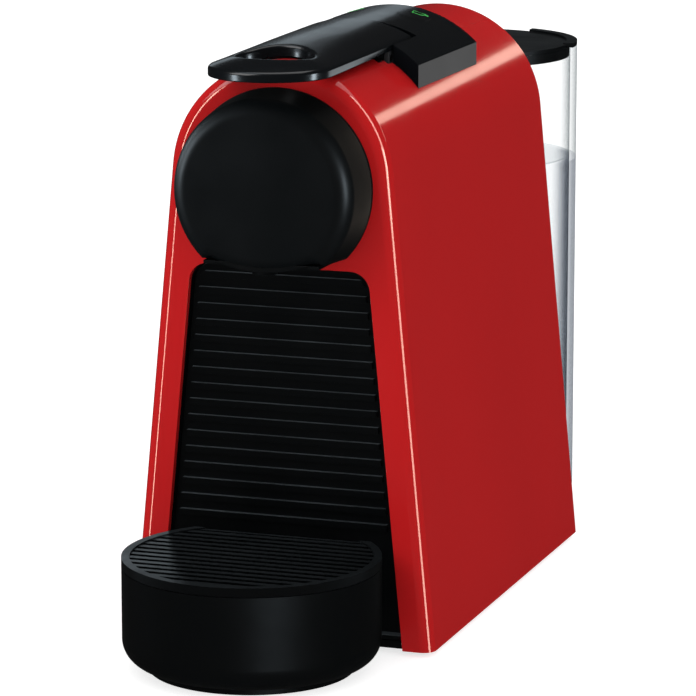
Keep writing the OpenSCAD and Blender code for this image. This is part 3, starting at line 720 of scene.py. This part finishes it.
# ---- control panel ----
PANEL_ARCH_R = 44.5 * MM
PANEL_SKIN = 2 * MM
NOTCH_R = 14.55 * MM
NOTCH_GAP = 0.5 * MM
NOTCH_WALL = 1.6 * MM
BUTTON_GAP = 0.3 * MM
SADDLE_GAP = 0.05 * MM
SADDLE_STEPS = 160
# More than the panel's height, for cutters that pass right through it.
PAST_PANEL = 40 * MM


def panel_z(x, inset=0.0):
    """Height of the panel's round top."""
    r = PANEL_ARCH_R - inset
    return PANEL[1].z - PANEL_ARCH_R + math.sqrt(r * r - x * x)


def panel_section(inset, count=48):
    """The panel's outline from the front, as (x, z) pairs."""
    half = PANEL[1].x - inset
    across = [half - 2 * half * i / count for i in range(count + 1)]
    return [(-half, ARCH_Z), (half, ARCH_Z)] + [(x, panel_z(x, inset)) for x in across]


def lever_notch(name, grow, count=48):
    """The room that the lever's rear end turns in: a slot that ends in a round hollow."""
    half = LEVER_HALF + NOTCH_GAP + grow
    r = NOTCH_R + grow
    y, z = HINGE[1], HINGE[2]
    low, high = z - PAST_PANEL, z + PAST_PANEL
    front = PANEL[0].y - CLEAR
    sweep = [-math.pi / 2 + math.pi * i / count for i in range(count + 1)]
    side = [(front, low), (y, low)]
    side += [(y + r * math.cos(a), z + r * math.sin(a)) for a in sweep]
    side += [(y, high), (front, high)]
    return loft(name, [[(x, py, pz) for py, pz in side] for x in (-half, half)])


def button_hole(side, count=24):
    """A button's hole from above, on the left (-1) or the right (1)."""
    low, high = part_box("espresso_button" if side < 0 else "lungo_button")
    r = (high.x - low.x) / 2 + BUTTON_GAP
    x = (low.x + high.x) / 2
    points = []
    for y, start in ((high.y + BUTTON_GAP - r, 0), (low.y - BUTTON_GAP + r, math.pi)):
        turns = [start + math.pi * i / count for i in range(count + 1)]
        points += [(x + r * math.cos(a), y + r * math.sin(a)) for a in turns]
    return points


def build_panel():
    """The control panel: an arched cap with a notch for the lever and two button holes."""
    front, rear = PANEL[0].y, PANEL[1].y
    panel = prism_y("panel_shell", panel_section(0), front, rear)
    inside = prism_y("inside", panel_section(PANEL_SKIN), front + PANEL_SKIN, rear - PANEL_SKIN)
    carve(inside, lever_notch("notch_wall", NOTCH_WALL))
    saddle_r = ARCH_R + SADDLE_GAP
    saddle_round = ellipse(0, ARCH_Z, saddle_r, saddle_r, SADDLE_STEPS)
    saddle = prism_y("saddle", saddle_round, front - MM, rear + MM)
    holes = [prism_z("button_hole", button_hole(side), ARCH_Z, PANEL[1].z + MM)
             for side in (-1, 1)]
    carve(panel, inside, lever_notch("notch", 0), saddle, *holes)
    soften(panel, COVER_EDGE)
    return finish_piece(panel, "chassis", ["control_panel"],
                        FINISH["panel_plastic"])


# ---- button signs ----
# How far back on its button a sign lies, as a share of the button's length.
SIGN_SHARE = 0.72
CUP_HALF = 2.3 * MM
CUP_DEEP = 3.6 * MM
CUP_FOOT_HALF = 0.82 * CUP_HALF
CUP_CORNER = 0.7 * MM
CORNER_STEPS = 6
LINE_HALF = 0.14 * MM
# Section of a raised line: across in half widths, and height over the button's top.
LINE_SECTION = ((-1, -0.28 * MM), (-1, 0.14 * MM), (-0.6, 0.18 * MM), (0.6, 0.18 * MM),
                (1, 0.14 * MM), (1, -0.28 * MM))


def cup_lines():
    """A cup and its handle, as lines of (x, y) points round the cup's middle."""
    rim, foot = CUP_DEEP / 2, -CUP_DEEP / 2
    half = [(-CUP_HALF, rim), (-CUP_FOOT_HALF, foot + CUP_CORNER)]
    for i in range(1, CORNER_STEPS):
        a = math.pi * (1 + i / CORNER_STEPS / 2)
        half.append((-CUP_FOOT_HALF + CUP_CORNER * (1 + math.cos(a)),
                     foot + CUP_CORNER * (1 + math.sin(a))))
    cup = half + [(-x, y) for x, y in reversed(half)] + [half[0]]
    out = CUP_HALF + 1.1 * MM
    handle = [(0.95 * CUP_HALF, rim - 0.5 * MM), (out, rim - 0.6 * MM),
              (out, rim - 1.4 * MM), (0.9 * CUP_HALF, rim - 1.6 * MM)]
    return cup, handle


def build_icon(name, node, body, material):
    """A raised cup sign that lies on a button's round top."""
    low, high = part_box(node)
    middle = ((low.x + high.x) / 2, low.y + (high.y - low.y) * SIGN_SHARE)
    count = len(LINE_SECTION)
    bm = bmesh.new()
    for line in cup_lines():
        rows = []
        for i, (x, y) in enumerate(line):
            before, after = line[max(i - 1, 0)], line[min(i + 1, len(line) - 1)]
            run = Vector((after[0] - before[0], after[1] - before[1])).normalized()
            side = Vector((-run.y, run.x)) * LINE_HALF
            row = []
            for away, lift in LINE_SECTION:
                px, py = middle[0] + x + side.x * away, middle[1] + y + side.y * away
                row.append(bm.verts.new((px, py, panel_z(px) + lift)))
            rows.append(row)
        for near, far in zip(rows, rows[1:]):
            for k in range(count):
                j = (k + 1) % count
                bm.faces.new((near[k], near[j], far[j], far[k]))
        bm.faces.new(rows[0])
        bm.faces.new(list(reversed(rows[-1])))
    return finish_piece(make_piece(name, bm), body, [], material)


# ---- water ----
TANK_FLOOR = 6.2 * MM
TANK_WALL = 2.6 * MM
WATER_GAP = 0.06 * MM
# Rings of the water: distance in from the wall, and rise over its foot or its surface.
WATER_FOOT = ((0.5 * MM, 0), (0, 0.5 * MM))
WATER_RIM = ((0, 0.9 * MM), (0.25 * MM, 0.45 * MM), (0.7 * MM, 0.15 * MM), (1.6 * MM, 0.02 * MM),
             (3 * MM, 0))


def tank_outline(inset, round_steps=96, flat_steps=16):
    """The tank from above: a round with a flat front, as (x, y) pairs."""
    r = TANK[1].x - inset
    centre_y = TANK[1].y - TANK[1].x
    front = TANK[0].y + inset
    start = math.asin((front - centre_y) / r)
    sweep = [start + (math.pi - 2 * start) * i / round_steps for i in range(round_steps + 1)]
    points = [(r * math.cos(a), centre_y + r * math.sin(a)) for a in sweep]
    left = points[-1][0]
    return points + [(left * (1 - 2 * i / flat_steps), front) for i in range(1, flat_steps)]


def build_water():
    """Water in the tank, with the small rise where it meets the wall."""
    rings = []
    for level, steps in ((TANK[0].z + TANK_FLOOR, WATER_FOOT), (WATER_LINE, WATER_RIM)):
        for inset, rise in steps:
            rings.append([(x, y, level + rise)
                          for x, y in tank_outline(TANK_WALL + WATER_GAP + inset)])
    water = loft("tank_water", rings)
    smooth(water)
    # The water's darker edge colour is painted shade that stands in for refraction.
    material = clear_wall("water", face_colour=(0.97, 0.975, 0.98),
                          edge_colour=(0.72, 0.74, 0.76), turn=(0.5, 0.95), roughness=0.03,
                          gloss_edge=0.12, ripple=8)
    return finish_piece(water, "tank", [], material)


# ---- carried-over CAD nodes ----
# Width of the rounded edges in millimetres; nodes at 0 stay as they are.
EDGE_WIDTH = {
    "capsule_container": 0.5, "drip_base": 0.5, "drip_grid": 0.45,
    "water_tank": 0.8, "tank_lid": 0.5, "spout_nozzle": 0.4, "espresso_button": 0.6,
    "lungo_button": 0.6, "base_plate": 0.4, "rear_cover": 0.4, "cord_gland": 0.5,
    "rubber_feet": 0.4, "lever_frame": 0.25, "link_rods": 0.3, "capsule_cage": 0.3,
    "thermoblock": 0.8, "heater_element": 0.0, "suction_hose": 0.0, "pressure_hose": 0.0,
    "brew_hose": 0.0, "inlet_hose": 0.0, "head_collar": 0.0, "spout_bridge": 0.3,
}
PLAIN_EDGE = 0.2


def finish_nodes():
    """Gives each CAD node the finish of its material slot and rounds its edges."""
    for name, node in frame["nodes"].items():
        for holder in node.material_slots:
            slot = holder.material.name.split(".")[0]
            holder.material = FINISH[slot]
        width = EDGE_WIDTH.get(name, PLAIN_EDGE)
        if width:
            soften(node, width * MM)


# ---- stage, light and camera ----
FLOOR_REACH = 9.0
FLOOR_CELLS = 24
# The floor stays this far under the feet, so that the two never lie in one plane.
FLOOR_GAP = 0.02 * MM
ROOM_STRENGTH = 0.95
MIRRORED_STRENGTH = 0.02
WARM = (1.0, 0.74, 0.6)
COOL = (0.78, 0.91, 1.0)
MIDDLE = Vector((0, 0, 110 * MM))
# Lens and sensor in millimetres, place in metres, downward tilt and turn in radians.
LENS = 207.67
SENSOR = 36
CAMERA_PLACE = (0.4566, -1.3429, 0.37816)
CAMERA_TILT = 0.20283
CAMERA_TURN = 0.33223


def build_floor():
    """A wide pale floor just under the feet, which no gloss mirrors."""
    bm = bmesh.new()
    bmesh.ops.create_grid(bm, x_segments=FLOOR_CELLS, y_segments=FLOOR_CELLS, size=FLOOR_REACH)
    floor = make_piece("floor", bm)
    floor.data.materials.append(pale_floor("studio_floor"))
    floor.location.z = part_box("rubber_feet")[0].z - FLOOR_GAP
    floor.visible_glossy = False


def light_room():
    """Even white room, dim where it is mirrored so that gloss keeps its depth."""
    world = bpy.data.worlds.new("room")
    bpy.context.scene.world = world
    world.use_nodes = True
    nodes, links = world.node_tree.nodes, world.node_tree.links
    path = nodes.new("ShaderNodeLightPath")
    dim = nodes.new("ShaderNodeMapRange")
    dim.inputs["To Min"].default_value = ROOM_STRENGTH
    dim.inputs["To Max"].default_value = MIRRORED_STRENGTH
    links.new(path.outputs["Is Glossy Ray"], dim.inputs["Value"])
    seen = nodes.new("ShaderNodeMath")
    seen.operation = "MAXIMUM"
    links.new(path.outputs["Is Camera Ray"], seen.inputs[0])
    links.new(dim.outputs["Result"], seen.inputs[1])
    back = nodes["Background"]
    back.inputs["Color"].default_value = (1, 1, 1, 1)
    links.new(seen.outputs["Value"], back.inputs["Strength"])


def soft_light(name, toward, distance, size, energy, colour=(1, 1, 1), aim=MIDDLE):
    """A rectangular light that faces a point of the machine from a direction."""
    direction = Vector(toward).normalized()
    data = bpy.data.lights.new(name, "AREA")
    data.shape = "RECTANGLE"
    data.size, data.size_y = size
    data.energy = energy
    data.color = colour
    lamp = bpy.data.objects.new(name, data)
    lamp.location = aim + direction * distance
    lamp.rotation_euler = (-direction).to_track_quat("-Z", "Y").to_euler()
    lamp.visible_camera = False
    bpy.context.scene.collection.objects.link(lamp)
    return lamp


def only_on(lamp, names, gloss_only=False, unshaded=False):
    """Lets a light reach only the named pieces, only their gloss, or past all other pieces."""
    lamp.visible_diffuse = not gloss_only
    reach = bpy.data.collections.new(lamp.name + "_reach")
    for name in names:
        reach.objects.link(bpy.data.objects[name])
    lamp.light_linking.receiver_collection = reach
    if unshaded:
        # Only what this collection holds shades the light, and one small sign shades little.
        shade = bpy.data.collections.new(lamp.name + "_shade")
        shade.objects.link(bpy.data.objects["lungo_icon"])
        lamp.light_linking.blocker_collection = shade


def spare(lamp, names):
    """Lets a light reach everything but the named pieces."""
    only_on(lamp, names)
    for member in lamp.light_linking.receiver_collection.collection_objects:
        member.light_linking.link_state = "EXCLUDE"


def light_most():
    """The two lights that most pieces share; dark parts in front and the floor are spared."""
    dim = ["head_disc", "drip_base", "drip_grid", "capsule_container", "bay_liner", "floor"]
    spare(soft_light("key", (-0.75, -0.9, 0.9), 1.8, (1.2, 1.2), 15), dim)
    spare(soft_light("top", (0.15, 0.1, 1.0), 1.6, (1.4, 1.4), 9), dim)


def light_casing():
    """Long lights that lay gloss bands on the casing, and a glow on its crown."""
    casing = ["red_casing_shell"]
    strips = (("right_strip", (0.92, -0.31, -0.02), 1.5, (0.4, 1.0), 16),
              ("right_arc", (0.853, -0.211, 0.476), 1.5, (0.32, 1.7), 20),
              ("left_strip", (-0.609, -0.793, -0.05), 1.5, (0.18, 1.0), 10.3),
              ("shoulder", (0.274, 0.926, 0.268), 1.8, (1.6, 0.09), 1.3))
    for name, toward, distance, size, energy in strips:
        only_on(soft_light(name, toward, distance, size, energy, WARM), casing, gloss_only=True)
    only_on(soft_light("crown_glow", (-0.3, 0.5, 0.85), 1.8, (0.8, 0.8), 9, WARM), casing)


def light_tops():
    """Soft lights for the lever, the panel, the buttons and the tank's lid."""
    tops = ["lever_top", "panel_shell", "espresso_button", "lungo_button"]
    behind, beside = (-0.42, 0.9, 0.19), (0.319, 0.926, -0.19)
    crest = Vector((0, (LEVER[0].y + LEVER[1].y) / 2, LEVER[1].z))
    only_on(soft_light("back_glow", behind, 1.9, (0.7, 0.3), 0.35, COOL, crest), tops)
    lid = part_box("tank_lid")
    lid_middle = (lid[0] + lid[1]) / 2
    only_on(soft_light("lid_glow", behind, 1.9, (0.7, 0.3), 0.07, COOL, lid_middle),
            ["tank_lid"])
    flank = Vector((PANEL[1].x, 0, (PANEL[0].z + PANEL[1].z) / 2))
    only_on(soft_light("side_glow", beside, 0.5, (0.3, 0.1), 0.035, aim=flank), tops)
    only_on(soft_light("seam_glow", (-0.32, -0.18, 0.9), 1.5, (1.0, 0.6), 2.0, COOL, crest),
            tops, gloss_only=True)
    lever_side = Vector((LEVER[1].x, (LEVER[0].y + LEVER[1].y) / 2, LEVER[0].z))
    only_on(soft_light("lever_glow", beside, 0.5, (0.3, 0.1), 0.06, COOL, lever_side),
            ["lever_top"], gloss_only=True)


def light_edges():
    """Lights that are seen only as gloss along the sides and edges of dark pieces."""
    edges = (("lid_side", (0.95, -0.1, -0.2), 1.6, (0.8, 0.5), 2.5, COOL, "tank_lid"),
             ("head_flank", (0.1, 0.95, 0.0), 1.5, (1.2, 1.2), 2.4, (1.0, 0.83, 0.68),
              "head_disc"),
             ("tip_left", (-0.73, -0.68, -0.12), 1.5, (0.25, 0.5), 5, COOL, "lever_top"),
             ("tip_right", (0.98, 0.16, -0.12), 1.5, (0.25, 0.5), 5, COOL, "lever_top"),
             ("ring_left", (-0.98, -0.2, 0.1), 1.5, (0.25, 0.5), 2, COOL, "drip_grid"),
             ("ring_right", (0.93, 0.36, 0.1), 1.5, (0.25, 0.5), 2, COOL, "drip_grid"),
             ("base_left", (-0.98, -0.2, 0.1), 1.5, (0.25, 0.5), 0.5, COOL, "drip_base"),
             ("head_left", (-1.0, 0.1, 0.25), 1.5, (0.25, 0.5), 3, COOL, "head_disc"),
             ("head_right", (0.88, -0.45, 0.05), 1.5, (0.25, 0.5), 5, COOL, "head_disc"))
    for name, toward, distance, size, energy, colour, piece in edges:
        lamp = soft_light(name, toward, distance, size, energy, colour)
        only_on(lamp, [piece], gloss_only=True, unshaded=True)


def light_front():
    """Soft lights for the brewing head, the cup stand and the recess behind it."""
    only_on(soft_light("head_glow", (-0.9, -0.45, 0.15), 1.5, (0.5, 0.5), 6, COOL),
            ["head_disc"])
    glows = (("stand_glow", (0.58, -0.8, -0.03), (0.6, 0.25), 2.8, ["drip_base"]),
             ("grid_glow", (-0.5, 0.85, 0.26), (0.4, 0.3), 0.45, ["drip_grid"]),
             ("rib_glow", (-0.32, 0.0, 0.93), (1.4, 1.4), 70, ["capsule_container", "bay_liner"]))
    for name, toward, size, energy, pieces in glows:
        lamp = soft_light(name, toward, 1.6, size, energy, COOL)
        only_on(lamp, pieces, gloss_only=True, unshaded=True)


def place_camera():
    """The camera of the main view."""
    data = bpy.data.cameras.new("camera")
    data.sensor_width = SENSOR
    data.lens = LENS
    camera = bpy.data.objects.new("camera", data)
    camera.location = CAMERA_PLACE
    camera.rotation_euler = (math.pi / 2 - CAMERA_TILT, 0, CAMERA_TURN)
    bpy.context.scene.collection.objects.link(camera)
    bpy.context.scene.camera = camera


def main():
    """Builds the pieces, the stage, the lights and the camera."""
    place_camera()
    bpy.context.scene.view_settings.view_transform = "Standard"
    finish_nodes()
    build_casing()
    build_head()
    build_lever()
    build_panel()
    icon = lit_icon("green_light")
    build_icon("espresso_icon", "espresso_button", "button_left", icon)
    build_icon("lungo_icon", "lungo_button", "button_right", icon)
    build_water()
    build_floor()
    light_room()
    light_most()
    light_casing()
    light_tops()
    light_edges()
    light_front()


main()
